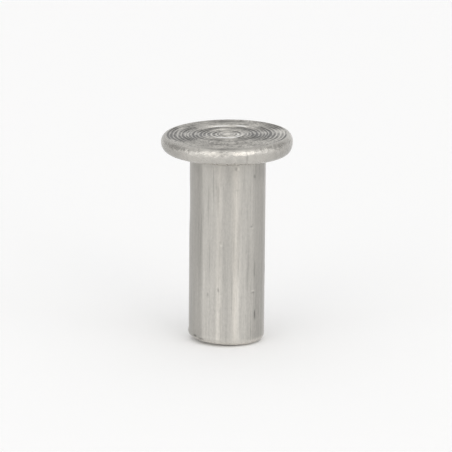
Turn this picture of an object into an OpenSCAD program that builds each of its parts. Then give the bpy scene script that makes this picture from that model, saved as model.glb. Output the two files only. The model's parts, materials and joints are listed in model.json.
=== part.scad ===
// Solid flat-head rivet for a brake lining, cold headed from aluminium wire.
// Millimetres. The origin is on the axis, in the plane of the head's bearing face.
// The head stands above that plane (+Z) and the shank hangs below it (-Z).

/* [Shank] */
// Diameter of the shank
shank_d = 4; // [2.5:0.1:5]
// Length from the head's bearing face to the middle of the foot
shank_length = 10.3; // [4:0.1:30]

/* [Head] */
// Diameter across the widest part of the head
head_d = 7; // [6:0.1:12]
// Thickness of the head, from the bearing face to the top
head_thickness = 0.9; // [0.75:0.05:1.5]
// Height from the widest line of the freely spread edge up to the head's top
edge_shoulder = 0.38; // [0.3:0.01:0.5]
// How far the top's rim lies in from that widest line
top_rim_inset = 0.28; // [0.05:0.01:0.36]
// How far the bearing face's rim lies in from that widest line
seat_rim_inset = 0.34; // [0.05:0.01:0.45]
// Radius of the fillet where the shank runs into the head
neck_fillet_r = 0.12; // [0.05:0.01:0.3]

/* [Tool rings on the head's top] */
// Distance from one ring groove to the next, along the radius
ring_pitch = 0.2; // [0.16:0.01:0.5]
// Width of each groove across its mouth
ring_width = 0.15; // [0.06:0.01:0.18]
// Depth of each groove
ring_depth = 0.025; // [0.01:0.005:0.03]
// Distance from the head's top rim to the middle of the outermost groove
ring_margin = 0.1; // [0.09:0.01:1]

/* [Foot] */
// Slant of the sheared foot away from square, in degrees, lower towards +X
foot_slant = 3; // [0:0.5:6]
// Radius of the arc that rounds the foot's rim
foot_round_r = 0.5; // [0.45:0.05:1]
// How far that rounding reaches in from the shank's wall
foot_round_reach = 0.45; // [0.2:0.01:0.46]

/* [Hidden] */
$fn = 96;
groove_fn = 48;
shank_r = shank_d / 2;
head_r = head_d / 2;
// Radius of the arc that starts upright at the widest line and leans in by inset over a height
function spread_arc_r(inset, height) = (pow(height, 2) + pow(inset, 2)) / (2 * inset);
// The edge's widest line, and the two arcs that meet there: up to the top's rim, down to the seat's
edge_widest_z = head_thickness - edge_shoulder;
top_rim_r = head_r - top_rim_inset;
shoulder_r = spread_arc_r(top_rim_inset, edge_shoulder);
belly_r = spread_arc_r(seat_rim_inset, edge_widest_z);
shoulder_centre_r = head_r - shoulder_r;
belly_centre_r = head_r - belly_r;
// The round-nosed groove that is ring_width wide at the surface and ring_depth deep
groove_r = (pow(ring_width / 2, 2) + pow(ring_depth, 2)) / (2 * ring_depth);
outer_ring_r = top_rim_r - ring_margin;
ring_count = floor((outer_ring_r - ring_width) / ring_pitch + 0.001) + 1;
// The foot's arc ends past the wall, so that the two meet at a soft corner
foot_arc_centre_r = shank_r - foot_round_reach;
foot_arc_end_r = foot_arc_centre_r + foot_round_r;
// Wire left beyond the foot for the shear to take off, and how far the cut clears it
shear_stock = shank_r * tan(foot_slant) + 0.5;
shear_clearance = 1;

// Half-section of the head: a flat disc whose edge has swollen out, most of all above the middle
module head_section() {
    polygon([[0, 0], [belly_centre_r, 0], [shoulder_centre_r, head_thickness], [0, head_thickness]]);
    intersection() {
        translate([shoulder_centre_r, edge_widest_z]) circle(shoulder_r);
        translate([0, edge_widest_z]) square([head_r, edge_shoulder]);
    }
    intersection() {
        translate([belly_centre_r, edge_widest_z]) circle(belly_r);
        square([head_r, edge_widest_z]);
    }
}

// Half-section of the fillet between the shank and the bearing face
module neck_section() {
    difference() {
        translate([0, -neck_fillet_r]) square([shank_r + neck_fillet_r, neck_fillet_r]);
        translate([shank_r + neck_fillet_r, -neck_fillet_r]) circle(neck_fillet_r);
    }
}

// Half-section of the shank, with the wire that the shear takes off
module shank_section() {
    translate([0, -shank_length - shear_stock])
        square([shank_r, shank_length + shear_stock]);
}

// Sections of the grooves that a round-nosed tool leaves, from the rim to the middle
module ring_sections() {
    for (i = [0 : ring_count - 1])
        translate([outer_ring_r - i * ring_pitch, head_thickness + groove_r - ring_depth])
            circle(groove_r, $fn = groove_fn);
}

// The headed blank: one revolved section
module blank() {
    rotate_extrude() difference() {
        union() {
            head_section();
            neck_section();
            shank_section();
        }
        ring_sections();
    }
}

// What the shear and the rounding of its rim take off the foot
module shear_cut() {
    translate([0, 0, -shank_length]) rotate([0, foot_slant, 0]) rotate_extrude() difference() {
        translate([0, -shear_stock - shear_clearance])
            square([foot_arc_end_r + shear_clearance, shear_stock + shear_clearance + foot_round_r]);
        square([foot_arc_centre_r, foot_round_r]);
        intersection() {
            translate([foot_arc_centre_r, foot_round_r]) circle(foot_round_r);
            square([foot_arc_end_r, foot_round_r]);
        }
    }
}

module rivet() {
    color("silver") difference() {
        blank();
        shear_cut();
    }
}

rivet();
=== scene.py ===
# %% [markdown]
# # A brake lining rivet
# The real thing is a short piece of soft aluminium wire. A heading tool squeezes one end into
# a flat head, and the other end stays as the shear left it. This script takes the measured
# model as a fixed frame and dresses it: one turned mesh with every tool mark in it, three
# finishes of the same metal, a pale floor, soft lamps and a camera.

# %% The frame
import json
import math
from functools import partial
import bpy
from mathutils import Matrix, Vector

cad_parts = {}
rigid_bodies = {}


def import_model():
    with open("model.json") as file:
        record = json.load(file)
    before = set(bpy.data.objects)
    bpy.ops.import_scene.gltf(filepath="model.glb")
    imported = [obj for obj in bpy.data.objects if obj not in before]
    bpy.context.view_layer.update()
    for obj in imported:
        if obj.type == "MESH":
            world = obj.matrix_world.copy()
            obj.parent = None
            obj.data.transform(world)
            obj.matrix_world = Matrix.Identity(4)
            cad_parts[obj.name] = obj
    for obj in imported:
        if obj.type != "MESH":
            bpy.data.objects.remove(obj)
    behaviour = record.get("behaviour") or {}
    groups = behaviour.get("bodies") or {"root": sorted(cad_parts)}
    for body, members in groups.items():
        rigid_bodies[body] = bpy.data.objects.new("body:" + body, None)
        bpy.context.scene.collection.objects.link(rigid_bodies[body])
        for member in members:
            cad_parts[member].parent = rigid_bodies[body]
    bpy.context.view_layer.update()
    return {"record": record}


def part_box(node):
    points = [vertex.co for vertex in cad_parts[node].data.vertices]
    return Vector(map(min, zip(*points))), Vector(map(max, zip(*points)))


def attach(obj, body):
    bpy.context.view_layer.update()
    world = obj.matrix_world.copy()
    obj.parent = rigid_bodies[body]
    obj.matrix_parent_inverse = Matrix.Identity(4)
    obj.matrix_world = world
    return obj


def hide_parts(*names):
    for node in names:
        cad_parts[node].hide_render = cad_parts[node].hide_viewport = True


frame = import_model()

from types import SimpleNamespace

import bpy
import numpy as np
from mathutils import Matrix

# %% [markdown]
# Everything on a rivet is a fraction of a millimetre, so the script thinks in millimetres and
# turns them to metres only where Blender needs them. Colours are written as sRGB hex values,
# the way a paint chart gives them, and one function makes them linear for the shaders.

# %% Units and colours
MM = 0.001
WHITE = "#ffffff"


def linear(hex_colour):
    """An sRGB hex colour as the linear RGBA that a shader socket takes."""
    parts = [int(hex_colour[i:i + 2], 16) / 255 for i in (1, 3, 5)]
    return [c / 12.92 if c <= 0.04045 else ((c + 0.055) / 1.055) ** 2.4 for c in parts] + [1.0]


print("white in linear light:", linear(WHITE))

# %% [markdown]
# A node tree can be drawn by hand in the editor, but then it can't be read here. One small
# function adds any node, with its settings and its links, so that a formula reads as a few
# lines of code. Most nodes are Math nodes, so a kind may carry its operation as a second word.
# Bound to one tree, the function is called add in all that follows.

# %% One function for every node
# The setting with which a Map Range node eases in and out
SOFT = {"interpolation_type": "SMOOTHSTEP"}


def fill(node, values):
    """Fill a node's inputs. A value is a constant, a socket, or a node, for its first output."""
    for name, value in values.items():
        if isinstance(value, bpy.types.Node):
            value = value.outputs[0]
        if isinstance(value, bpy.types.NodeSocket):
            node.id_data.links.new(value, node.inputs[name])
        else:
            node.inputs[name].default_value = value
    return node


def add_node(tree, kind, *values, **settings):
    """Add one node. Its values fill the inputs in their order, or by name from one dict."""
    kind, _, operation = kind.partition(" ")
    node = tree.nodes.new(kind)
    if operation:
        node.operation = operation
    for name, value in settings.items():
        setattr(node, name, value)
    by_name = values and isinstance(values[0], dict)
    return fill(node, values[0] if by_name else dict(enumerate(values)))


# %% [markdown]
# ## Sizes
# The head's width, the top and the foot come from the frame, and the shank's radius from its
# mount, so this file repeats no size that the model already holds. What it adds is what
# heading leaves on a real rivet. The head is struck a little out of true, so its top and its
# seat are not quite parallel, and it sits a few hundredths of a millimetre off the shank.

# %% Sizes from the frame, in millimetres
low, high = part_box("rivet")
mounts = {m["name"]: m for m in frame["record"]["mounts"]}
# What keeps the uneven edge and top inside the model's box
EDGE_ROOM, TOP_ROOM = 0.006, 0.003
# How much the blow thickens the shank, and how far the slanted foot reaches below its middle
SHANK_SWELL, FOOT_REACH = 0.012, 0.125
HEAD_R = (high.x - low.x) / 2 / MM - EDGE_ROOM
SHANK_R = mounts["shank"]["dims"]["r_mm"] + SHANK_SWELL
FOOT_Z = low.z / MM + FOOT_REACH
print("head", round(HEAD_R * 2, 3), "shank", round(SHANK_R * 2, 3), "foot at", round(FOOT_Z, 3))

# %% How the head was struck
# The tilts are slopes: the rise for each millimetre of +X
TOP_TILT, SEAT_TILT = 0.0203, -0.0075
SHANK_ASIDE = 0.062
HEAD_THICK, SEAT_TO_WIDEST = 0.915, 0.525
# The barrelled edge reaches this far out past the flat top and past the flat seat
TOP_OVERHANG, SEAT_OVERHANG = 0.278, 0.343
NECK_FILLET, FOOT_ROUND = 0.12, 0.42
TOP_RIM_R = HEAD_R - TOP_OVERHANG
SEAT_RIM_R = HEAD_R - SEAT_OVERHANG
TOP_Z = high.z / MM - TOP_RIM_R * TOP_TILT - TOP_ROOM
SEAT_Z = TOP_Z - HEAD_THICK
WIDEST_Z = SEAT_Z + SEAT_TO_WIDEST
print("top at", round(TOP_Z, 3), "widest at", round(WIDEST_Z, 3), "seat at", round(SEAT_Z, 3))

# %% [markdown]
# ## The half-section
# A rivet is round, so half of its section says nearly everything. A few points and a Bevel
# would draw it, but the marks need points of their own. So it is drawn as lines and quarter
# ellipses, from the middle of the top round to the middle of the foot, and each stretch gets
# as many points as its marks need: many down the shank, and few on the seat that nobody sees.

# %% Lines and quarter ellipses
# The three zones of the surface, as numbers that a mesh can store
TOP, EDGE, SHANK = 0.0, 1.0, 2.0


def line(start, end, count, zone):
    """Points from start up to, not including, end, each as (radius, height, zone, groove)."""
    (r, z), (end_r, end_z) = start, end
    steps = [i / count for i in range(count)]
    return [(r + (end_r - r) * t, z + (end_z - z) * t, zone, 0.0) for t in steps]


def quarter(centre, reach, rise, start_deg, end_deg, count, zone):
    """Points along an ellipse about centre, up to, not including, the end."""
    r, z = centre
    angles = [math.radians(start_deg + (end_deg - start_deg) * i / count) for i in range(count)]
    return [(r + reach * math.cos(a), z + rise * math.sin(a), zone, 0.0) for a in angles]


# %% [markdown]
# The top carries fifteen rings, each the track of one turn of a pointed tool. They are about
# 0.2 mm apart but not evenly spaced, and some are deeper than others. A sine wave over the
# radius would make them all alike, so each groove has a radius and a strength of its own. It
# runs as a parabola from the crest inside it to the crest outside it, halfway to the next.

# %% The rings on the top
RING_VALLEYS = (
    0.35, 0.5, 0.69, 0.97, 1.19, 1.37, 1.6, 1.8, 2.0, 2.13, 2.31, 2.54, 2.74, 2.96, 3.14)
RING_STRENGTHS = (
    0.8, 0.9, 1.1, 0.8, 0.9, 1.2, 1.2, 0.8, 0.8, 1.0, 1.4, 0.8, 1.0, 1.2, 1.3)
BOSS_R = 0.24
BOSS_POINTS, RING_POINTS = 4, 8
# p (1 - p) peaks at a quarter, and this makes it a parabola that peaks at 1
TO_ONE = 4.0


def ringed_top():
    """The top out to its rim, with each groove's depth as a share of the ring depth."""
    between = [(a + b) / 2 for a, b in zip(RING_VALLEYS, RING_VALLEYS[1:])]
    crests = [BOSS_R, *between, TOP_RIM_R]
    points = line((0.0, TOP_Z), (BOSS_R, TOP_Z), BOSS_POINTS, TOP)
    for inner, outer, strength in zip(crests, crests[1:], RING_STRENGTHS):
        for i in range(RING_POINTS):
            t = i / RING_POINTS
            points.append(
                (inner + (outer - inner) * t, TOP_Z, TOP, TO_ONE * t * (1 - t) * strength))
    return points


print("rings:", len(RING_VALLEYS))

# %% [markdown]
# The seat is flat and the neck has a small fillet. The free edge bulges in two quarter
# ellipses that meet at its widest line, and the foot's rim is a quarter circle. Strung
# together, the stretches make one open line of points in the XZ plane, and each point carries
# its zone and its groove as attributes.

# %% The half-section as a mesh
ROUND_POINTS, SEAT_POINTS, FILLET_POINTS, SHANK_POINTS, FACE_POINTS = 14, 6, 5, 112, 12
FILLET_R = SHANK_R + NECK_FILLET
FILLET_Z = SEAT_Z - NECK_FILLET
FACE_R = SHANK_R - FOOT_ROUND
RIM_Z = FOOT_Z + FOOT_ROUND

top_round = (TOP_RIM_R, WIDEST_Z), TOP_OVERHANG, TOP_Z - WIDEST_Z
seat_round = (SEAT_RIM_R, WIDEST_Z), SEAT_OVERHANG, WIDEST_Z - SEAT_Z
profile = (
    ringed_top()
    + quarter(*top_round, 90, 0, ROUND_POINTS, EDGE)
    + quarter(*seat_round, 0, -90, ROUND_POINTS, EDGE)
    + line((SEAT_RIM_R, SEAT_Z), (FILLET_R, SEAT_Z), SEAT_POINTS, EDGE)
    + quarter((FILLET_R, FILLET_Z), NECK_FILLET, NECK_FILLET, 90, 180, FILLET_POINTS, EDGE)
    + line((SHANK_R, FILLET_Z), (SHANK_R, RIM_Z), SHANK_POINTS, SHANK)
    + quarter((FACE_R, RIM_Z), FOOT_ROUND, FOOT_ROUND, 0, -90, ROUND_POINTS, SHANK)
    + line((FACE_R, FOOT_Z), (0.0, FOOT_Z), FACE_POINTS, SHANK)
    + [(0.0, FOOT_Z, SHANK, 0.0)]
)
section = bpy.data.meshes.new("rivet_half_section")
radii, heights, zones, grooves = zip(*profile)
section.from_pydata(
    [(r * MM, 0, z * MM) for r, z in zip(radii, heights)],
    [(i, i + 1) for i in range(len(profile) - 1)], [])
for name, values in (("zone", zones), ("groove", grooves)):
    section.attributes.new(name, "FLOAT", "POINT").data.foreach_set("value", values)
rivet = bpy.data.objects.new("rivet_body", section)
bpy.context.scene.collection.objects.link(rivet)
print("half-section points:", len(profile))

# %% [markdown]
# ## Turning it
# A Screw modifier would spin the section too, but it can't let the rings wander a little as
# they go round, or lean the head. So a node tree lays out a grid, one row for each point of
# the section and one column for each step round the axis, and sets every vertex by formula.
# Its named inputs are the sizes that someone would want to change.

# %% What the turning tree is given, in millimetres
TURNING = {
    # Steps round the axis, which are 0.07 mm long on the head
    "Segments": 320,
    # How deep a groove of strength 1 is, and how far the rings wander sideways
    "Ring Depth": 0.014,
    "Ring Wander": 0.07,
    # How far the free edge and the shank swell in and out
    "Edge Wave": 0.012,
    "Shank Wave": 0.004,
    # How the head leans and sits aside, as above
    "Top Tilt": TOP_TILT,
    "Seat Tilt": SEAT_TILT,
    "Shank Aside": SHANK_ASIDE,
    # How much the shank's radius shrinks for each millimetre down
    "Shank Taper": 0.0009,
    # The shear's slant of 3 degrees, and how far its burr stands out
    "Foot Slant": math.tan(math.radians(3.0)),
    "Foot Burr": 0.05,
    "Seed": 3.0,
}


def name_inputs(tree, sizes):
    """Give a tree its geometry in and out, and an input for each size."""
    for way in ("INPUT", "OUTPUT"):
        tree.interface.new_socket(name="Geometry", in_out=way, socket_type="NodeSocketGeometry")
    for name, size in sizes.items():
        kind = "NodeSocketInt" if isinstance(size, int) else "NodeSocketFloat"
        socket = tree.interface.new_socket(name=name, in_out="INPUT", socket_type=kind)
        socket.default_value = size


print("inputs:", ", ".join(TURNING))

# %% [markdown]
# Each vertex of the grid knows only its number. Dividing it by the number of columns gives
# its row, and what is left over gives its angle. The row then fetches the point of the
# section that it stands for, with its zone and its groove. What the later steps read of a
# vertex is gathered once, under the name at.

# %% The grid, and where each vertex is
TOP_ENDS, SHANK_BEGINS = (TOP + EDGE) / 2, (EDGE + SHANK) / 2


def lay_out(add, given):
    """A grid with a row for each point of the section, and what each vertex stands for."""
    index = add("GeometryNodeInputIndex")
    rows = add("GeometryNodeAttributeDomainSize", given["Geometry"]).outputs["Point Count"]
    columns = add("ShaderNodeMath ADD", given["Segments"], 1.0)
    grid = add("GeometryNodeMeshGrid", {"Vertices X": rows, "Vertices Y": columns})
    row = add("ShaderNodeMath FLOOR", add("ShaderNodeMath DIVIDE", index, columns))
    column = add("ShaderNodeMath SUBTRACT", index, add("ShaderNodeMath MULTIPLY", row, columns))
    turn = add("ShaderNodeMath DIVIDE", column, given["Segments"])
    angle = add("ShaderNodeMath MULTIPLY", turn, math.tau)
    point, zone, groove = (
        add("GeometryNodeSampleIndex", {
            "Geometry": given["Geometry"], "Value": value, "Index": row}, data_type=kind)
        for value, kind in (
            (add("GeometryNodeInputPosition"), "FLOAT_VECTOR"),
            (add("GeometryNodeInputNamedAttribute", "zone", data_type="FLOAT"), "FLOAT"),
            (add("GeometryNodeInputNamedAttribute", "groove", data_type="FLOAT"), "FLOAT"),
        ))
    point = add("ShaderNodeSeparateXYZ", point).outputs
    radius = add("ShaderNodeMath DIVIDE", point["X"], MM)
    height = add("ShaderNodeMath DIVIDE", point["Z"], MM)
    cosine, sine = add("ShaderNodeMath COSINE", angle), add("ShaderNodeMath SINE", angle)
    return grid, SimpleNamespace(
        zone=zone, groove=groove, radius=radius, height=height, cosine=cosine, sine=sine,
        x=add("ShaderNodeMath MULTIPLY", radius, cosine),
        y=add("ShaderNodeMath MULTIPLY", radius, sine),
        on_top=add("ShaderNodeMath LESS_THAN", zone, TOP_ENDS),
        on_shank=add("ShaderNodeMath GREATER_THAN", zone, SHANK_BEGINS))


# %% [markdown]
# The tool shook a little as it cut, so a ring is not a true circle, and it bites deeper in one
# place than in another. Afterwards the rivets rubbed against each other in a barrel, which
# wore the rings down most on the side towards -Y and least across the middle. Noise shifts
# and weakens the grooves, so no two of them are alike.

# %% The rings wander and bite
RING_WAVES_PER_MM, RING_DETAIL = 0.9, 4.0
# The wander grows from the middle out to the first radius, and dies out this far before the rim
WANDER_GROWS, WANDER_DIES = 0.5, 0.25
# Neighbouring grooves differ, because the bite changes faster across the rings than along them
BITE_ACROSS, BITE_SHARE, BITE_SEED = 2.0, 2.2, 20.0
# Where rubbing starts and is full, as Y, and how much of a groove it takes
RUBBED_FRONT = (-0.9, -1.9, 0.7)
RUBBED_BACK = (1.0, 2.4, 0.4)


def wave(add, x, y, z, per_mm, detail, seed):
    """Smooth noise from about -1 to 1, with so many waves in each millimetre."""
    place = add("ShaderNodeCombineXYZ", add("ShaderNodeMath ADD", x, seed), y, z)
    noise = add("ShaderNodeTexNoise", {"Vector": place, "Scale": per_mm, "Detail": detail})
    return add("ShaderNodeMath MULTIPLY_ADD", noise, 2.0, -1.0)


def ring_wander(add, given, at):
    """How far the rings stray outwards here."""
    off_middle = add("ShaderNodeMapRange", at.radius, 0.0, WANDER_GROWS, **SOFT)
    off_rim = add("ShaderNodeMapRange", at.radius, TOP_RIM_R, TOP_RIM_R - WANDER_DIES, **SOFT)
    free = add("ShaderNodeMath MULTIPLY", off_middle, off_rim)
    reach = add("ShaderNodeMath MULTIPLY", at.on_top, free)
    reach = add("ShaderNodeMath MULTIPLY", reach, given["Ring Wander"])
    strays = wave(add, at.x, at.y, 0.0, RING_WAVES_PER_MM, RING_DETAIL, given["Seed"])
    return add("ShaderNodeMath MULTIPLY", reach, strays)


def groove_left(add, given, at):
    """How deep the groove is here, as a share of the ring depth."""
    across = add("ShaderNodeMath MULTIPLY", at.radius, BITE_ACROSS)
    seed = add("ShaderNodeMath ADD", given["Seed"], BITE_SEED)
    bite = wave(add, at.x, at.y, across, RING_WAVES_PER_MM, RING_DETAIL, seed)
    bite = add("ShaderNodeMath MULTIPLY_ADD", bite, BITE_SHARE, 1.0)
    bite = add("ShaderNodeMath MAXIMUM", bite, 0.0)
    front, back = (
        add("ShaderNodeMapRange", at.y, start, full, 0.0, share, **SOFT)
        for start, full, share in (RUBBED_FRONT, RUBBED_BACK))
    rubbed = add("ShaderNodeMath MAXIMUM", front, back)
    kept = add("ShaderNodeMath SUBTRACT", 1.0, rubbed)
    return add("ShaderNodeMath MULTIPLY", add("ShaderNodeMath MULTIPLY", at.groove, bite), kept)


# %% [markdown]
# Nothing held the edge while the punch spread it, so it swelled unevenly all round. The shank
# was held in the die, so it has only the drawn wire's faint, long waves and the slight taper
# with which it slides out. A displacement texture would need an unwrapped mesh; noise that
# reads each vertex's own place does not. All of it is added to the radius.

# %% The edge swells and the shank waves
# Waves in each millimetre of the edge, and in each radius of the shank
EDGE_WAVES_PER_MM, SHANK_WAVES, SWELL_DETAIL = 1.1, 1.6, 2.0
# The swelling begins this far inside the rim of the top
SWELL_INSIDE = 0.3
# The shank's waves are drawn out along it: this is how fast they change with the height
SHANK_DRAW = 0.06


def swollen_radius(add, given, at):
    """The radius with the rings' wander, the edge's and the shank's waves and the taper."""
    near_rim = add("ShaderNodeMapRange", at.radius, TOP_RIM_R - SWELL_INSIDE, TOP_RIM_R, **SOFT)
    reach = add("ShaderNodeMath MULTIPLY", near_rim, given["Edge Wave"])
    swell = wave(add, at.x, at.y, at.height, EDGE_WAVES_PER_MM, SWELL_DETAIL, given["Seed"])
    edge_wave = add("ShaderNodeMath MULTIPLY", reach, swell)

    reach = add("ShaderNodeMath MULTIPLY", at.on_shank, given["Shank Wave"])
    along = add("ShaderNodeMath MULTIPLY", at.height, SHANK_DRAW)
    swell = wave(add, at.cosine, at.sine, along, SHANK_WAVES, SWELL_DETAIL, given["Seed"])
    shank_wave = add("ShaderNodeMath MULTIPLY", reach, swell)

    slope = add("ShaderNodeMath MULTIPLY", at.on_shank, given["Shank Taper"])
    taper = add("ShaderNodeMath MULTIPLY", slope, at.height)
    waves = add("ShaderNodeMath ADD", edge_wave, shank_wave)
    grown = add("ShaderNodeMath ADD", at.radius, ring_wander(add, given, at))
    grown = add("ShaderNodeMath ADD", grown, add("ShaderNodeMath ADD", waves, taper))
    return add("ShaderNodeMath MAXIMUM", grown, 0.0)


# %% [markdown]
# The shear cut the wire from the +X side and tore it off on the -X side. So the foot slants,
# and where it tore, its rim is fuller and keeps a burr, which stands out and hangs down by as
# much. A boolean cut would leave a hard edge all round; here the slant and the burr are smooth
# terms that die out up the shank.

# %% The sheared foot
# The slant has died out this far above the foot
SLANT_ENDS = 1.2


def foot_burr(add, given, at):
    """How far the burr stands out here: widest halfway up the rounded rim, and on the -X side."""
    above = add("ShaderNodeMath SUBTRACT", at.height, FOOT_Z)
    up_the_rim = add("ShaderNodeMath DIVIDE", above, FOOT_ROUND, use_clamp=True)
    from_top = add("ShaderNodeMath SUBTRACT", 1.0, up_the_rim)
    bulge = add("ShaderNodeMath MULTIPLY", up_the_rim, from_top)
    bulge = add("ShaderNodeMath MULTIPLY", bulge, TO_ONE)
    # From 0 on the +X side to 1 on the -X side
    torn_side = add("ShaderNodeMath MULTIPLY_ADD", at.cosine, -0.5, 0.5)
    bulge = add("ShaderNodeMath MULTIPLY", bulge, torn_side)
    return add("ShaderNodeMath MULTIPLY", bulge, given["Foot Burr"])


def foot_slant(add, given, at, x):
    """How far the slant lowers the foot here."""
    near_foot = add(
        "ShaderNodeMapRange", at.height, FOOT_Z + SLANT_ENDS, FOOT_Z + FOOT_ROUND, **SOFT)
    drop = add("ShaderNodeMath MULTIPLY", x, given["Foot Slant"])
    return add("ShaderNodeMath MULTIPLY", drop, near_foot)


# %% [markdown]
# The punch came down a little askew. The top leans by one slope and the seat by another, and
# the shank stands aside from the head's middle. Tilting the finished head as a rigid part
# would tear the neck, so the lean grows smoothly from the shank up to the top, and the seat
# stretches to meet the shank.

# %% The head leans and the shank stands aside
# The lean begins this far below the seat
LEAN_BEGINS = 1.2


def head_lean(add, given, at, x):
    """How far the lean lifts this place."""
    above = add("ShaderNodeMath SUBTRACT", at.height, SEAT_Z)
    up_the_head = add("ShaderNodeMath DIVIDE", above, HEAD_THICK, use_clamp=True)
    slope = add(
        "ShaderNodeMapRange", up_the_head, 0.0, 1.0, given["Seat Tilt"], given["Top Tilt"])
    near_head = add("ShaderNodeMapRange", at.height, SEAT_Z - LEAN_BEGINS, SEAT_Z, **SOFT)
    slope = add("ShaderNodeMath MULTIPLY", slope, near_head)
    return add("ShaderNodeMath MULTIPLY", x, slope)


def moved_aside(add, given, at, x):
    """X with the shank's offset, which fades in across the seat."""
    under = add("ShaderNodeMath LESS_THAN", at.height, WIDEST_Z)
    inwards = add("ShaderNodeMapRange", at.radius, SEAT_RIM_R, FILLET_R, **SOFT)
    follow = add("ShaderNodeMath MULTIPLY", under, inwards)
    shift = add("ShaderNodeMath MULTIPLY", follow, given["Shank Aside"])
    return add("ShaderNodeMath ADD", x, shift)


# %% [markdown]
# The terms come together here. The grid's two ends meet at the same angle, and its first and
# last rows shrink to the axis, so merging by distance closes the seam and both poles. The
# zone chooses the finish: one for the top, one for the edge and one for the shank. A face
# across a border averages two zones, and the later finish takes it.

# %% The whole tree
# Points nearer than this, in metres, are one
SAME_PLACE = 1e-7
# The zones of each finish, as more than the first number and less than the second
FINISH_ZONES = ((-1.0, 0.6), (0.4, 1.4), (1.4, 3.0))


def placed_in_metres(add, given, at, groove):
    """Where each vertex goes."""
    burr = foot_burr(add, given, at)
    radius = add("ShaderNodeMath ADD", swollen_radius(add, given, at), burr)
    x = add("ShaderNodeMath MULTIPLY", radius, at.cosine)
    y = add("ShaderNodeMath MULTIPLY", radius, at.sine)
    lowered = add("ShaderNodeMath ADD", foot_slant(add, given, at, x), burr)
    rise = add("ShaderNodeMath SUBTRACT", head_lean(add, given, at, x), lowered)
    cut = add("ShaderNodeMath MULTIPLY", groove, given["Ring Depth"])
    z = add("ShaderNodeMath ADD", add("ShaderNodeMath SUBTRACT", at.height, cut), rise)
    placed = add("ShaderNodeCombineXYZ", moved_aside(add, given, at, x), y, z)
    return add("ShaderNodeVectorMath SCALE", {"Vector": placed, "Scale": MM})


def turning_tree(finishes):
    """A tree that turns a half-section round Z and gives it all its unevenness."""
    tree = bpy.data.node_groups.new("turn_the_rivet", "GeometryNodeTree")
    name_inputs(tree, TURNING)
    add = partial(add_node, tree)
    given = add("NodeGroupInput").outputs
    grid, at = lay_out(add, given)
    groove = groove_left(add, given, at)
    shape = grid
    for name, value in (("groove", groove), ("zone", at.zone)):
        shape = add("GeometryNodeStoreNamedAttribute", {
            "Geometry": shape, "Name": name, "Value": value}, data_type="FLOAT")
    shape = add("GeometryNodeSetPosition", {
        "Geometry": shape, "Position": placed_in_metres(add, given, at, groove)})
    shape = add("GeometryNodeMergeByDistance", {"Geometry": shape, "Distance": SAME_PLACE})
    shape = add("GeometryNodeSetShadeSmooth", {"Geometry": shape})
    shape = add("GeometryNodeRealizeInstances", {"Geometry": shape})
    zone = add("GeometryNodeInputNamedAttribute", "zone", data_type="FLOAT")
    for finish, (more, less) in zip(finishes, FINISH_ZONES):
        above = add("ShaderNodeMath GREATER_THAN", zone, more)
        chosen = add("ShaderNodeMath MULTIPLY", above, add("ShaderNodeMath LESS_THAN", zone, less))
        shape = add("GeometryNodeSetMaterial", {
            "Geometry": shape, "Selection": chosen, "Material": finish})
    add("NodeGroupOutput", {"Geometry": shape})
    return tree


# %% [markdown]
# A modifier could stay live on the piece, but the marks below need plain vertices to press.
# So the tree runs once, and the mesh that comes out of it takes the half-section's place.

# %% The turned mesh
FINISHES = ("turned_aluminium", "upset_aluminium", "drawn_aluminium")
finishes = [bpy.data.materials.new(name) for name in FINISHES]
turning = rivet.modifiers.new("turning", "NODES")
turning.node_group = turning_tree(finishes)
for socket in turning.node_group.interface.items_tree:
    if socket.name in TURNING:
        turning[socket.identifier] = TURNING[socket.name]
bpy.context.view_layer.update()
turned_rivet = rivet.evaluated_get(bpy.context.evaluated_depsgraph_get())
mesh = bpy.data.meshes.new_from_object(turned_rivet)
rivet.modifiers.remove(turning)
rivet.data = mesh
triangles = sum(len(p.vertices) - 2 for p in mesh.polygons)
print("rivet_body:", len(mesh.vertices), "vertices,", triangles, "triangles")

# %% [markdown]
# ## Nicks and scratches
# Rivets are tumbled, barrelled and poured by the thousand, so each one carries nicks, pits and
# drag lines of its own. A texture would repeat them; here each is a soft dent pressed into the
# mesh at a chosen place. The place is measured round from the front, towards +X, and up from
# the frame's origin, which lies at the head's seat. The same weight is stored as a tone, so
# that the finish can be darker in a scratch and brighter on a burr. Many marks have no depth
# and are only painted light and painted shade in that tone, standing for highlights and shadows.

# %% The vertices, ready to be pressed
points = np.empty(len(mesh.vertices) * 3)
mesh.vertices.foreach_get("co", points)
points = points.reshape(-1, 3) / MM
zone_of = np.empty(len(points))
mesh.attributes["zone"].data.foreach_get("value", zone_of)
tone_and_painted_light = np.zeros(len(points))
# Merging leaves a zone only nearly whole, so it is matched to within a half
HALF_ZONE = 0.5
for name, zone in (("top", TOP), ("edge", EDGE), ("shank", SHANK)):
    print(name, "vertices:", int((np.abs(zone_of - zone) < HALF_ZONE).sum()))

# %% How a mark is pressed in
# No vertex counts as nearer to the axis than this, so that nothing is divided by nought
LEAST_R = 1e-6


def press(zone, axis_x, azimuth, height, half_width, half_height, depth, shade, turned=0.0):
    """Press one dent inwards (a negative depth raises it) and shade it.

    Sizes are in millimetres and angles in degrees. On the top, the height is a radius.
    """
    across, away = points[:, 0] - axis_x, points[:, 1]
    radius = np.maximum(np.hypot(across, away), LEAST_R)
    swing = np.arctan2(across, -away) - math.radians(azimuth)
    around = ((swing + math.pi) % math.tau - math.pi) * radius
    along = (radius if zone == TOP else points[:, 2]) - height
    cosine, sine = math.cos(math.radians(turned)), math.sin(math.radians(turned))
    around, along = around * cosine + along * sine, along * cosine - around * sine
    weight = np.exp(-(around / half_width) ** 2 - (along / half_height) ** 4)
    weight *= np.abs(zone_of - zone) < HALF_ZONE
    if zone == TOP:
        points[:, 2] -= depth * weight
    else:
        points[:, 0] -= across / radius * depth * weight
        points[:, 1] -= away / radius * depth * weight
    tone_and_painted_light[:] += shade * weight
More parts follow.
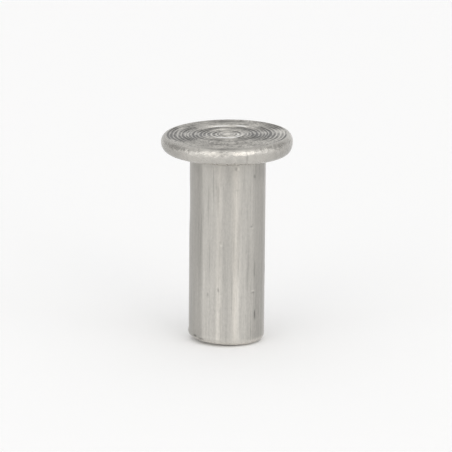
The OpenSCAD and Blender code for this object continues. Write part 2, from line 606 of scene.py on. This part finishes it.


# %% [markdown]
# Each mark is written as azimuth, height, half width, half height, depth and shade, and a few
# have a turn as well. The top has a small boss in its middle with painted light on it, raised
# ridges between some of the rings with painted highlights on them, and broad patches of painted
# shade and painted light: darker at the front, at the back and at the left rim, lighter on the
# right and in the middle at the back.

# %% Marks on the top, where the height is a radius
# The boss covers the middle, so it is far wider round the axis than its radius, and its shade is
# painted light
BOSS = (
    (0, 0, 9, 0.9, -0.012, 0.22),
)
# Raised ridges, each with a painted highlight in its shade
RIDGES_WITH_PAINTED_HIGHLIGHTS = (
    (2, 0.86, 0.9, 0.07, -0.02, 1.7), (-165, 1.15, 0.5, 0.06, -0.015, 1.0),
    (-170, 1.8, 0.8, 0.07, -0.02, 1.6), (157, 1.92, 0.3, 0.09, -0.02, 2.0),
    (-175, 0.5, 0.35, 0.07, -0.01, 1.2), (60, 0.62, 0.3, 0.05, 0, 0.9),
    (-45, 0.62, 0.25, 0.05, 0, 0.9),
)
# Painted shade and painted light: darker front, back and left rim, lighter right and middle back
PAINTED_LIGHT_AND_SHADE_PATCHES = (
    (90, 2.9, 2.0, 0.6, 0, 0.12), (-88, 3.1, 0.9, 0.16, 0, -0.25), (0, 2.3, 3.0, 0.9, 0, -0.4),
    (180, 2.9, 2.5, 0.5, 0, -0.2), (68, 2.9, 1.0, 0.4, 0, 0.15), (180, 1.7, 1.2, 0.5, 0, 0.1),
)
top_marks = BOSS + RIDGES_WITH_PAINTED_HIGHLIGHTS + PAINTED_LIGHT_AND_SHADE_PATCHES
for mark in top_marks:
    press(TOP, 0.0, *mark)
print("marks on the top:", len(top_marks))

# %% [markdown]
# The shank slid through a die and along feed rails, which dragged lines down it. Streaks that
# stood proud were rubbed bright, and the barrel left pits and dings, some with a burr thrown up
# beside them. The three bright streaks low on the shank are painted highlights of the softboxes.
# Painted shade darkens the shank under the head and on its sides by the foot, and painted light
# brightens the foot's rim. The stripes, which have no depth, are partly bands of the wire's skin
# and partly painted light and painted shade.

# %% Marks on the shank
DRAG_LINES = (
    (-22, -1.4, 0.04, 0.95, 0.004, -0.26), (-19, -1.4, 0.03, 0.3, 0.003, -0.1),
    (37, -1.85, 0.05, 0.25, 0.004, -0.1), (72, -1.1, 0.05, 0.45, 0.004, -0.14),
    (30, -5.05, 0.03, 0.35, 0.004, -0.14), (35, -5.4, 0.03, 1.15, 0.004, -0.14),
    (18, -5.9, 0.03, 0.5, 0.003, -0.14), (47, -6.2, 0.04, 0.4, 0.005, -0.3),
    (32, -6.3, 0.03, 0.3, 0.003, -0.1), (12, -8.35, 0.05, 0.1, 0.004, -0.08),
    (48, -8.65, 0.05, 0.25, 0.01, -0.6), (30, -8.75, 0.03, 0.2, 0.004, -0.18),
)
# The three streaks at -8.3 mm have no depth: they are painted highlights of the two softboxes
BRIGHT_STREAKS_AND_HIGHLIGHTS = (
    (-12, -1.2, 0.09, 0.8, -0.003, 0.08), (-23, -2.2, 0.03, 0.9, 0, 0.16),
    (-10, -2.6, 0.1, 0.7, -0.003, 0.06), (14, -2.6, 0.13, 0.8, 0, 0.06),
    (50, -3.0, 0.4, 3.4, 0, 0.06), (20, -5.8, 0.03, 0.6, -0.002, 0.08),
    (-13, -8.3, 0.08, 1.9, 0, 0.16), (14, -8.3, 0.14, 1.9, 0, 0.09),
    (18, -8.3, 0.06, 1.9, 0, 0.13),
)
DINGS = (
    (13, -0.6, 0.06, 0.08, 0.01, -0.4), (16, -0.6, 0.07, 0.07, -0.008, 0.35),
    (45, -1.1, 0.06, 0.1, 0.006, -0.35), (15, -1.75, 0.12, 0.05, 0.004, -0.14),
    (40, -3.8, 0.12, 0.05, 0.008, -0.35, 25), (42, -3.9, 0.06, 0.06, -0.005, 0.15),
    (-11, -4.6, 0.06, 0.06, 0.006, -0.15), (-9, -4.75, 0.07, 0.06, -0.006, 0.2),
    (83, -6.4, 0.1, 0.3, -0.014, -0.25), (-13, -7.2, 0.04, 0.12, 0.006, -0.45),
    (13, -7.2, 0.03, 0.08, 0.003, -0.1), (-30, -7.5, 0.04, 0.1, 0.006, -0.4),
    (44, -7.35, 0.12, 0.05, -0.005, 0.25), (44, -7.45, 0.09, 0.05, 0.01, -0.4),
    (-55, -9.9, 0.12, 0.06, 0.01, -0.6), (-42, -10, 0.2, 0.06, 0.01, -0.6),
)
# Painted shade on the shank just under the head, at both sides, where the head shades it
PAINTED_SHADE_UNDER_THE_HEAD = (
    (-33, -0.45, 0.2, 0.12, 0, -0.1), (-55, -0.75, 0.35, 0.3, 0, -0.1),
    (56, -0.9, 0.4, 0.45, 0, -0.1),
)
HOLLOW_ON_THE_SIDE = (
    (-90, -2.9, 0.8, 1.1, 0.02, 0),
)
# Painted shade on both sides low on the shank, and a dark line beside the left painted highlight
PAINTED_SHADE_BY_THE_FOOT = (
    (60, -8.6, 0.9, 2.4, 0, -0.1), (-72, -8.6, 0.6, 2.4, 0, -0.11),
    (-18, -8.3, 0.08, 1.9, 0, -0.12),
)
# Painted light all round the foot's rim, which lifts it out of the floor's contact shadow
PAINTED_LIGHT_ON_THE_RIM = (
    (0, -10.2, 20, 0.22, 0, 0.34),
)
# Stripes run the whole shank, so each is only an azimuth, a half width and a shade. The broad
# dark ones at both sides and down the middle are painted shade, and the bright one at -38 degrees
# is painted light along the border of the lit front
STRIPES_AND_PAINTED_LIGHT = (
    (-78, 0.35, -0.14), (-38, 0.15, 0.19), (-32, 0.12, 0.05), (-2, 0.22, -0.08),
    (8, 0.08, -0.06), (28, 0.06, 0.04), (34, 0.08, -0.06), (70, 0.2, -0.08), (88, 0.3, -0.14),
)
STRIPE_MIDDLE, STRIPE_HALF = -5.2, 6.0
shank_marks = (
    DRAG_LINES + BRIGHT_STREAKS_AND_HIGHLIGHTS + DINGS
    + PAINTED_SHADE_UNDER_THE_HEAD + HOLLOW_ON_THE_SIDE + PAINTED_SHADE_BY_THE_FOOT + PAINTED_LIGHT_ON_THE_RIM)
for mark in shank_marks:
    press(SHANK, SHANK_ASIDE, *mark)
for azimuth, half_width, shade in STRIPES_AND_PAINTED_LIGHT:
    press(SHANK, SHANK_ASIDE, azimuth, STRIPE_MIDDLE, half_width, STRIPE_HALF, 0, shade)
print("marks on the shank:", len(shank_marks) + len(STRIPES_AND_PAINTED_LIGHT))

# %% [markdown]
# The edge met no tool, but the barrel nicked it. Under the head, painted light runs all round
# at the seat and painted shade in the fillet of the neck, and both flanks of the edge are
# darkened with painted shade. Along the rim, painted shade and painted highlights shape the
# softboxes' glints and the dark band where the top meets the edge.

# %% Marks on the edge
# Painted light at the seat, painted shade in the neck's fillet and on both flanks
PAINTED_NECK_LINES_AND_FLANKS = (
    (0, -0.16, 30, 0.06, 0, -0.15), (0, -0.05, 30, 0.04, 0, 0.15),
    (-68, 0.1, 1.4, 0.45, 0, -0.35), (68, 0.1, 1.4, 0.45, 0, -0.3),
)
# Painted shade and painted highlights along the rim, shaping the softboxes' glints
PAINTED_EDGE_LIGHT_AND_SHADE = (
    (0, 0.84, 2.0, 0.06, 0, -0.3), (-4, 0.79, 0.6, 0.05, 0, -0.2), (-3, 0.6, 0.5, 0.12, 0, -0.25),
    (90, 0.84, 1.2, 0.1, 0, 0.3), (17, 0.6, 0.6, 0.1, 0, 0.12), (-13, 0.68, 0.3, 0.05, 0, 0.15),
    (-19, 0.66, 0.15, 0.05, 0, 0.12),
)
EDGE_NICKS = (
    (18, 0.35, 0.03, 0.36, 0.012, -0.25), (8, 0.4, 0.1, 0.09, 0.014, -0.05),
    (24, 0.55, 0.32, 0.04, -0.006, 0.05, 18), (22, 0.45, 0.3, 0.06, 0.008, -0.05, 18),
    (33, 0.53, 0.03, 0.1, 0.006, -0.22), (-44, 0.65, 0.05, 0.16, 0.006, -0.08),
    (-14, 0.6, 0.08, 0.05, -0.006, 0.08),
)
edge_marks = PAINTED_NECK_LINES_AND_FLANKS + PAINTED_EDGE_LIGHT_AND_SHADE + EDGE_NICKS
for mark in edge_marks:
    press(EDGE, 0.0, *mark)
print("marks on the edge:", len(edge_marks))

# %% The marked mesh
mesh.vertices.foreach_set("co", (points * MM).ravel())
# The tone holds the marks' own colour and also painted light and painted shade
mesh.attributes.new("tone_and_painted_light", "FLOAT", "POINT").data.foreach_set("value", tone_and_painted_light)
mesh.update()
print("tone from", round(tone_and_painted_light.min(), 2), "to", round(tone_and_painted_light.max(), 2))

# %% [markdown]
# ## Three finishes of one metal
# The wire is soft aluminium, never polished and never coated, so it is a light warm grey with
# a satin shine. What differs is how each surface was made: the top was turned, the edge spread
# freely under the punch, and the shank kept the die's drag lines. Image textures would need
# an unwrapped mesh; noise that reads the place on the piece in millimetres needs none, and
# gives every pattern its real size.

# %% Shared helpers for the finishes
ALUMINIUM = "#bfbcb6"
# Noise keeps mostly within these two values, which are spread to -1 and 1
NOISE_LOW, NOISE_HIGH = 0.3, 0.7
# The direction of an anisotropic shine, in turns
QUARTER_TURN = 0.25


def place_in_mm(add, squeeze=(1.0, 1.0, 1.0)):
    """Object coordinates in millimetres. Squeezed along an axis, they stretch a pattern there."""
    coords = add("ShaderNodeTexCoord").outputs["Object"]
    return add("ShaderNodeVectorMath MULTIPLY", coords, [part / MM for part in squeeze])


def grain(add, place, per_mm, detail):
    """Noise from -1 to 1, with so many features in each unit of the place."""
    noise = add("ShaderNodeTexNoise", {"Vector": place, "Scale": per_mm, "Detail": detail})
    return add("ShaderNodeMapRange", noise, NOISE_LOW, NOISE_HIGH, -1.0, 1.0)


def layered(add, base, *shares):
    """The base plus each pattern times its share."""
    for pattern, share in shares:
        base = add("ShaderNodeMath MULTIPLY_ADD", pattern, share, base)
    return base


def bare_metal(material, shine, roughness, relief, relief_mm, anisotropy, rotation):
    """Wire a bare metal: its colour times shine, a roughness, and a relief that deep."""
    add = partial(add_node, material.node_tree)
    colour = add("ShaderNodeVectorMath SCALE", {"Vector": linear(ALUMINIUM)[:3], "Scale": shine})
    bump = add("ShaderNodeBump", {"Height": relief, "Distance": relief_mm * MM, "Strength": 1.0})
    fill(material.node_tree.nodes["Principled BSDF"], {
        "Base Color": colour, "Metallic": 1.0, "Roughness": roughness, "Normal": bump,
        "Anisotropic": anisotropy, "Anisotropic Rotation": rotation})


for finish in finishes:
    finish.use_nodes = True
print("finishes:", ", ".join(finish.name for finish in finishes))

# %% [markdown]
# Turned aluminium: the tool's rings are in the mesh, and between them lie the finer lines of
# the feed. Real ones are too fine to show, so they are drawn coarser, 0.08 mm apart. Grit
# from the barrel has left specks about 0.1 mm across. The valleys are darkened with painted
# shade and the ridges between them are brightened with a painted highlight, so one value, the
# depth, drives both. The lines spread the shine across themselves, and the anisotropy gives that.

# %% The turned top
# The patterns: how many there are in each millimetre, and the noise's detail
LINES_PER_MM, LINE_DETAIL = 12.0, 2.0
SPECKS_PER_MM, SPECK_DETAIL = 9.0, 3.0
PATCHES_PER_MM, PATCH_DETAIL = 1.6, 2.0
# How much a line changes along its way round, and how a speck is stretched sideways
LINES_ROUND, SPECK_SQUEEZE = 1.5, (1.0, 0.7, 1.0)
# What the patterns add to the depth, and the depths where a valley and a ridge start and are full
LINE_DEPTH, SPECK_DEPTH = 0.35, 0.6
VALLEY, RIDGE = (0.1, 1.2), (-0.25, -0.7)
# What each adds to the shine, the valleys' painted shade and the ridges' painted highlight
# among them, and the shine of the plain metal and of the dullest spot
VALLEY_PAINTED_SHADE, RIDGE_PAINTED_HIGHLIGHT = -1.3, 0.5
LINE_SHINE, SPECK_SHINE, PATCH_SHINE = 0.25, 0.8, 0.1
TURNED_SHINE, DULLEST = 1.33, 0.25
TURNED_ROUGH, LINE_ROUGH = 0.4, 0.05
TURNED_RELIEF, TURNED_ANISOTROPY = 0.002, 0.9


def lines_round(add):
    """Fine lines that run round the axis and change slowly along their way."""
    flat = place_in_mm(add, (1.0, 1.0, 0.0))
    radius = add("ShaderNodeVectorMath LENGTH", flat).outputs["Value"]
    outwards = add("ShaderNodeVectorMath NORMALIZE", flat)
    outwards = add("ShaderNodeVectorMath SCALE", {"Vector": outwards, "Scale": LINES_ROUND})
    line_number = add("ShaderNodeMath MULTIPLY", radius, LINES_PER_MM)
    by_radius = add("ShaderNodeCombineXYZ", {"Z": line_number})
    counted_in_lines = add("ShaderNodeVectorMath ADD", outwards, by_radius)
    return grain(add, counted_in_lines, 1.0, LINE_DETAIL)


def turned_aluminium(material):
    """The top: painted highlights on the ridges, painted shade in the valleys, specks and soft
    patches.
    """
    add = partial(add_node, material.node_tree)
    lines = lines_round(add)
    specks = grain(add, place_in_mm(add, SPECK_SQUEEZE), SPECKS_PER_MM, SPECK_DETAIL)
    patches = grain(add, place_in_mm(add), PATCHES_PER_MM, PATCH_DETAIL)
    groove, tone_and_painted_light = (
        add("ShaderNodeAttribute", attribute_name=name).outputs["Fac"]
        for name in ("groove", "tone_and_painted_light"))
    depth = layered(add, groove, (lines, LINE_DEPTH), (specks, SPECK_DEPTH))
    valley, ridge = (add("ShaderNodeMapRange", depth, *span, **SOFT) for span in (VALLEY, RIDGE))
    shine = layered(
        add, tone_and_painted_light, (valley, VALLEY_PAINTED_SHADE), (specks, SPECK_SHINE), (lines, LINE_SHINE),
        (ridge, RIDGE_PAINTED_HIGHLIGHT), (patches, PATCH_SHINE))
    shine = add("ShaderNodeMath ADD", shine, TURNED_SHINE)
    shine = add("ShaderNodeMath MAXIMUM", shine, DULLEST)
    rough = layered(add, TURNED_ROUGH, (lines, LINE_ROUGH))
    bare_metal(material, shine, rough, lines, TURNED_RELIEF, TURNED_ANISOTROPY, QUARTER_TURN)


turned_aluminium(finishes[0])
print("feed lines", round(1 / LINES_PER_MM, 2), "mm apart")

# %% [markdown]
# Upset aluminium: the edge was never touched by a tool. It swelled out, and its skin stretched
# into a fine orange peel, with grains about 0.25 mm across that catch the light one by one.
# It is the smoothest of the three, so it is the least rough, and it has no direction.

# %% The upset edge
PEEL_PER_MM, PEEL_DETAIL = 4.0, 4.0
BLOOMS_PER_MM, BLOOM_DETAIL, BLOOM_SQUEEZE = 1.8, 2.0, (1.0, 1.0, 0.6)
PEEL_SHINE, BLOOM_SHINE = 0.05, 0.07
UPSET_ROUGH, BLOOM_ROUGH = 0.27, 0.05
PEEL_RELIEF = 0.012


def upset_aluminium(material):
    """The edge: an orange peel, with a soft bloom that comes and goes."""
    add = partial(add_node, material.node_tree)
    peel = grain(add, place_in_mm(add), PEEL_PER_MM, PEEL_DETAIL)
    bloom = grain(add, place_in_mm(add, BLOOM_SQUEEZE), BLOOMS_PER_MM, BLOOM_DETAIL)
    tone_and_painted_light = add("ShaderNodeAttribute", attribute_name="tone_and_painted_light").outputs["Fac"]
    shine = layered(add, 1.0, (bloom, BLOOM_SHINE), (peel, PEEL_SHINE), (tone_and_painted_light, 1.0))
    rough = layered(add, UPSET_ROUGH, (bloom, BLOOM_ROUGH))
    bare_metal(material, shine, rough, peel, PEEL_RELIEF, 0.0, 0.0)


upset_aluminium(finishes[1])
print("peel", round(1 / PEEL_PER_MM, 2), "mm across")

# %% [markdown]
# Drawn aluminium: the wire was pulled through a die, which leaves lines along it. Real ones are
# a few hundredths of a millimetre wide, too fine to show, so they are drawn an eighth wide.
# Heading then squeezed the wire endwise, which leaves its skin with crosswise ripples, finer
# still. They spread the shine up and down more than round, and the anisotropy gives that. The
# die held the lower end longest, so the skin is a little smoother there.

# %% The drawn shank
# Each pattern: how far the place is squeezed along the wire, features in a millimetre, detail
DIE_LINES = (0.05, 8.0, 3.0)
SCORES = (0.04, 10.0, 2.0)
BANDS = (0.03, 1.6, 1.0)
FLECKS = (0.4, 13.0, 3.0)
# Only the strongest scores show dark, and the strongest ridges between them bright
DARK_SCORE, BRIGHT_SCORE = (0.4, 1.0), (-0.4, -0.9)
# What each adds to the shine
DIE_LINE_SHINE, BAND_SHINE, FLECK_SHINE = 0.05, 0.04, 0.07
DARK_SHINE, BRIGHT_SHINE = -0.15, 0.06
# What the flecks and the smooth lower end add to the roughness, and where that end begins
DRAWN_ROUGH, FLECK_ROUGH, LOWER_ROUGH = 0.42, 0.03, -0.07
LOWER_END = (-5.2, -7.8)
DRAWN_RELIEF, FLECK_RELIEF, DRAWN_ANISOTROPY = 0.0012, 0.7, 0.95


def drawn_aluminium(material):
    """The shank: die lines, a few scores, broad bands and small flecks."""
    add = partial(add_node, material.node_tree)
    lines, scores, bands, flecks = (
        grain(add, place_in_mm(add, (1.0, 1.0, squeeze)), per_mm, detail)
        for squeeze, per_mm, detail in (DIE_LINES, SCORES, BANDS, FLECKS))
    tone_and_painted_light = add("ShaderNodeAttribute", attribute_name="tone_and_painted_light").outputs["Fac"]
    dark, bright = (
        add("ShaderNodeMapRange", scores, *span, **SOFT) for span in (DARK_SCORE, BRIGHT_SCORE))
    shine = layered(
        add, 1.0, (lines, DIE_LINE_SHINE), (tone_and_painted_light, 1.0), (bands, BAND_SHINE),
        (flecks, FLECK_SHINE), (dark, DARK_SHINE), (bright, BRIGHT_SHINE))
    relief = layered(add, lines, (flecks, FLECK_RELIEF))
    height = add("ShaderNodeSeparateXYZ", place_in_mm(add)).outputs["Z"]
    low_down = add("ShaderNodeMapRange", height, *LOWER_END, **SOFT)
    rough = layered(add, DRAWN_ROUGH, (flecks, FLECK_ROUGH), (low_down, LOWER_ROUGH))
    bare_metal(material, shine, rough, relief, DRAWN_RELIEF, DRAWN_ANISOTROPY, QUARTER_TURN)


drawn_aluminium(finishes[2])
print("die lines", 1 / DIE_LINES[1], "mm wide")

# %% [markdown]
# The rivet is one solid, so its one mesh rides on the model's one body. It stands in for the
# plain solid, which stays hidden behind it.

# %% What the piece is, for the frame
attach(rivet, "root")
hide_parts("rivet")
print(rivet.name, "rides on root and replaces rivet")

# %% [markdown]
# ## Floor and light
# Satin metal is a blurred picture of its room, so the room is built with as much care as the
# finish. A pale floor keeps the rivet's sides clean and takes its soft shadow.

# %% The floor
# Its side, in metres
FLOOR_SIZE = 1.2
FLOOR_ROUGH = 0.9
floor_z = min(v.co.z for v in rivet.data.vertices)
bpy.ops.mesh.primitive_plane_add(size=FLOOR_SIZE, location=(0, 0, floor_z))
floor = bpy.context.object
floor.name = "pale_floor"
paint = bpy.data.materials.new("matt_white_paint")
paint.use_nodes = True
fill(paint.node_tree.nodes["Principled BSDF"], {
    "Base Color": linear(WHITE), "Roughness": FLOOR_ROUGH})
floor.data.materials.append(paint)
print("floor at", round(floor_z / MM, 3), "mm")

# %% [markdown]
# A tent of white cloth lights the rivet from all round. Lamps alone would leave black gaps in
# the metal between them. The tent could be a mesh, but then it would stand in the way of other
# cameras, so it is the world. Its front, on the camera's side, is bright. Its sides are dim,
# with a paler card straight behind the rivet and a pale top. The border of the bright front
# leans towards the camera as it rises, and is turned a little to one side.

# %% The tent
TENT_SIDES, TENT_CARD, TENT_FRONT, TENT_TOP = 0.5, 0.78, 1.5, 0.95
TENT_LEAN, TENT_TURN = 0.6, 0.06
# Where the front, the card and the top begin and are full, along the direction of view
FRONT_SPAN, CARD_SPAN, TOP_SPAN = (0.05, -0.09), (0.5, 0.8), (0.5, 0.9)
world = bpy.data.worlds.new("white_tent")
bpy.context.scene.world = world
world.use_nodes = True
add = partial(add_node, world.node_tree)
direction = add("ShaderNodeSeparateXYZ", add("ShaderNodeTexCoord").outputs["Generated"]).outputs
facing = layered(add, direction["Y"], (direction["X"], -TENT_TURN), (direction["Z"], TENT_LEAN))
front = add("ShaderNodeMapRange", facing, *FRONT_SPAN, **SOFT)
card = add("ShaderNodeMapRange", direction["Y"], *CARD_SPAN, **SOFT)
top = add("ShaderNodeMapRange", direction["Z"], *TOP_SPAN, **SOFT)
around = layered(add, TENT_SIDES, (front, TENT_FRONT - TENT_SIDES), (card, TENT_CARD - TENT_SIDES))
level = add("ShaderNodeMapRange", top, 0.0, 1.0, around, TENT_TOP)
fill(world.node_tree.nodes["Background"], {"Color": linear(WHITE), "Strength": level})
print("tent: front", TENT_FRONT, "sides", TENT_SIDES, "card", TENT_CARD, "top", TENT_TOP)

# %% [markdown]
# Two tall softboxes stand at 26 degrees to each side of the lens. They draw the two bright
# lines down the shank and the glints on the edge. Being tall and narrow, each gives a long
# line and not a spot, and the right one is the stronger.

# %% The softboxes
# In degrees and metres
SOFTBOX_AZIMUTH, SOFTBOX_ELEVATION, SOFTBOX_DISTANCE = 26, 19, 0.45
SOFTBOX_WIDTH, SOFTBOX_HEIGHT = 0.1, 0.3
SOFTBOX_COLOUR = "#fff5ea"
SOFTBOXES = (("left_softbox", -SOFTBOX_AZIMUTH, 0.07), ("right_softbox", SOFTBOX_AZIMUTH, 0.12))
for name, azimuth, watts in SOFTBOXES:
    lamp = bpy.data.lights.new(name, "AREA")
    lamp.shape = "RECTANGLE"
    lamp.size, lamp.size_y = SOFTBOX_WIDTH, SOFTBOX_HEIGHT
    lamp.energy = watts
    lamp.color = linear(SOFTBOX_COLOUR)[:3]
    softbox = bpy.data.objects.new(name, lamp)
    bpy.context.scene.collection.objects.link(softbox)
    round_the_rivet = Matrix.Rotation(math.radians(azimuth), 4, "Z")
    down_from_above = Matrix.Rotation(math.radians(90 - SOFTBOX_ELEVATION), 4, "X")
    pull_back = Matrix.Translation((0, 0, SOFTBOX_DISTANCE))
    softbox.matrix_world = round_the_rivet @ down_from_above @ pull_back
    print(name, "at azimuth", azimuth, "with", watts, "watts")

# %% [markdown]
# ## The camera
# A small thing is shot from far off with a long lens, so that its sides stay parallel. The
# camera looks down by the elevation and is rolled by the lean. Its place is worked back from
# where the middle of the rivet's top belongs in the frame.

# %% The camera
ELEVATION = math.radians(14.35)
LEAN = math.radians(-0.558)
# In millimetres, like everything else, but for the end of the view, which is in metres
DISTANCE = 600.0
CLIP_END = 10
FRAME_PX = 452
PIXELS_PER_MM = 18.91
TOP_CENTRE_PX = (227.0, 134.1)
forward = np.array([0, math.cos(ELEVATION), -math.sin(ELEVATION)])
level_up = np.array([0, math.sin(ELEVATION), math.cos(ELEVATION)])
level_right = np.array([1.0, 0, 0])
right = level_right * math.cos(LEAN) - level_up * math.sin(LEAN)
up = level_up * math.cos(LEAN) + level_right * math.sin(LEAN)
aside = (TOP_CENTRE_PX[0] - FRAME_PX / 2) / PIXELS_PER_MM
above = (FRAME_PX / 2 - TOP_CENTRE_PX[1]) / PIXELS_PER_MM
place = np.array([0, 0, TOP_Z]) - right * aside - up * above - forward * DISTANCE
camera = bpy.data.objects.new("camera", bpy.data.cameras.new("camera"))
bpy.context.scene.collection.objects.link(camera)
bpy.context.scene.camera = camera
camera.data.angle = 2 * math.atan(FRAME_PX / PIXELS_PER_MM / 2 / DISTANCE)
camera.data.clip_end = CLIP_END
rows = [[right[i], up[i], -forward[i], place[i] * MM] for i in range(3)]
camera.matrix_world = Matrix(rows + [[0, 0, 0, 1]])
print("camera at", [round(v * MM, 3) for v in place], "m")

# %% [markdown]
# The colours are shown as they are lit, with no film look over them.

# %% The closing lines
bpy.context.scene.view_settings.view_transform = "Standard"
